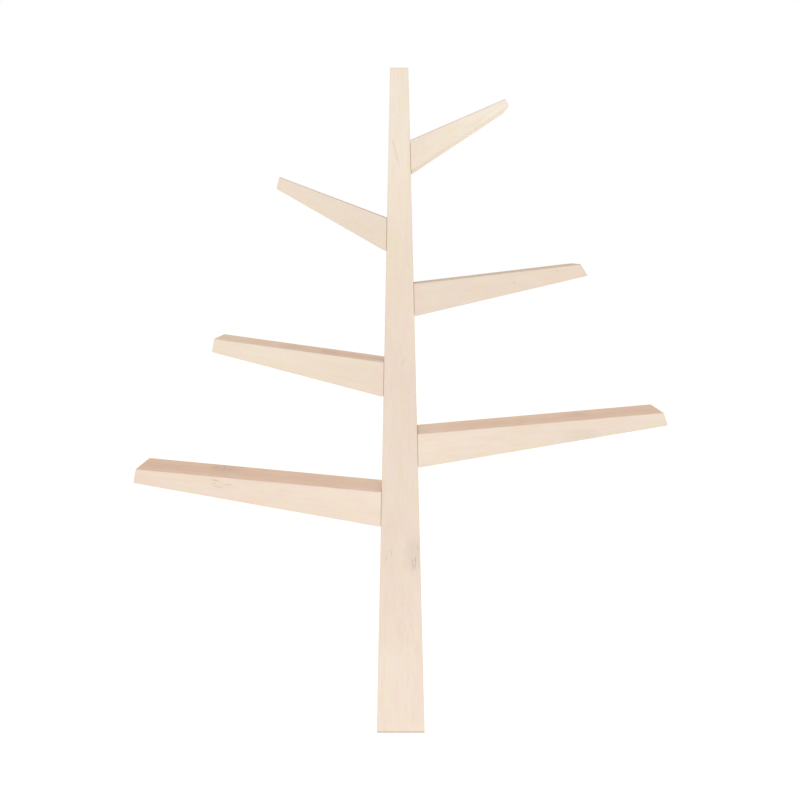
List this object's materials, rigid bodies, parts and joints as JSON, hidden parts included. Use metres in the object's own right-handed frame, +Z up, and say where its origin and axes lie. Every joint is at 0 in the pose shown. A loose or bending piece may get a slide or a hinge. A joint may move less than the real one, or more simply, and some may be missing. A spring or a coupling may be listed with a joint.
{
  "type": "tree shaped bookshelf",
  "caption": "Free-standing bookshelf shaped like a bare tree: a tapered trunk with tapered branches that rise left and right of it and carry books on their top faces.",
  "frame": {"origin": "on the floor, under the middle of the trunk, halfway between the front and the back", "axes": "+Z up, +X right as seen from the front, +Y to the back; the front faces -Y"},
  "size_m": [1.1227, 0.19, 1.4],
  "materials": {
    "whitewashed_wood": "pale whitewashed timber, matte lacquer, fine grain, eased edges",
    "inner_wood": "bare sawn softwood, unfinished",
    "zinc_steel": "zinc plated steel, satin",
    "pale_felt": "pressed felt, pale greyish beige"
  },
  "bodies": {
    "root": {"foot_pad": "pale_felt", "keyhole_plate": "zinc_steel", "keyhole_plate_lower_screw": "zinc_steel", "keyhole_plate_upper_screw": "zinc_steel", "lower_left_back_board": "whitewashed_wood", "lower_left_back_bolt": "zinc_steel", "lower_left_bottom_board": "whitewashed_wood", "lower_left_front_board": "whitewashed_wood", "lower_left_front_bolt": "zinc_steel", "lower_left_root_block": "inner_wood", "lower_left_tip_cap": "whitewashed_wood", "lower_left_top_board": "whitewashed_wood", "lower_right_back_board": "whitewashed_wood", "lower_right_back_bolt": "zinc_steel", "lower_right_bottom_board": "whitewashed_wood", "lower_right_front_board": "whitewashed_wood", "lower_right_front_bolt": "zinc_steel", "lower_right_root_block": "inner_wood", "lower_right_tip_cap": "whitewashed_wood", "lower_right_top_board": "whitewashed_wood", "middle_left_back_board": "whitewashed_wood", "middle_left_back_bolt": "zinc_steel", "middle_left_bottom_board": "whitewashed_wood", "middle_left_front_board": "whitewashed_wood", "middle_left_front_bolt": "zinc_steel", "middle_left_root_block": "inner_wood", "middle_left_tip_cap": "whitewashed_wood", "middle_left_top_board": "whitewashed_wood", "middle_right_back_board": "whitewashed_wood", "middle_right_back_bolt": "zinc_steel", "middle_right_bottom_board": "whitewashed_wood", "middle_right_front_board": "whitewashed_wood", "middle_right_front_bolt": "zinc_steel", "middle_right_root_block": "inner_wood", "middle_right_tip_cap": "whitewashed_wood", "middle_right_top_board": "whitewashed_wood", "trunk_back_board": "whitewashed_wood", "trunk_foot_board": "inner_wood", "trunk_front_board": "whitewashed_wood", "trunk_left_board": "whitewashed_wood", "trunk_lower_core": "inner_wood", "trunk_right_board": "whitewashed_wood", "trunk_top_cap": "whitewashed_wood", "trunk_upper_core": "inner_wood", "upper_left_back_board": "whitewashed_wood", "upper_left_back_bolt": "zinc_steel", "upper_left_bottom_board": "whitewashed_wood", "upper_left_front_board": "whitewashed_wood", "upper_left_front_bolt": "zinc_steel", "upper_left_root_block": "inner_wood", "upper_left_tip_cap": "whitewashed_wood", "upper_left_top_board": "whitewashed_wood", "upper_right_back_board": "whitewashed_wood", "upper_right_back_bolt": "zinc_steel", "upper_right_bottom_board": "whitewashed_wood", "upper_right_front_board": "whitewashed_wood", "upper_right_front_bolt": "zinc_steel", "upper_right_root_block": "inner_wood", "upper_right_tip_cap": "whitewashed_wood", "upper_right_top_board": "whitewashed_wood"}
  },
  "joints": []
}
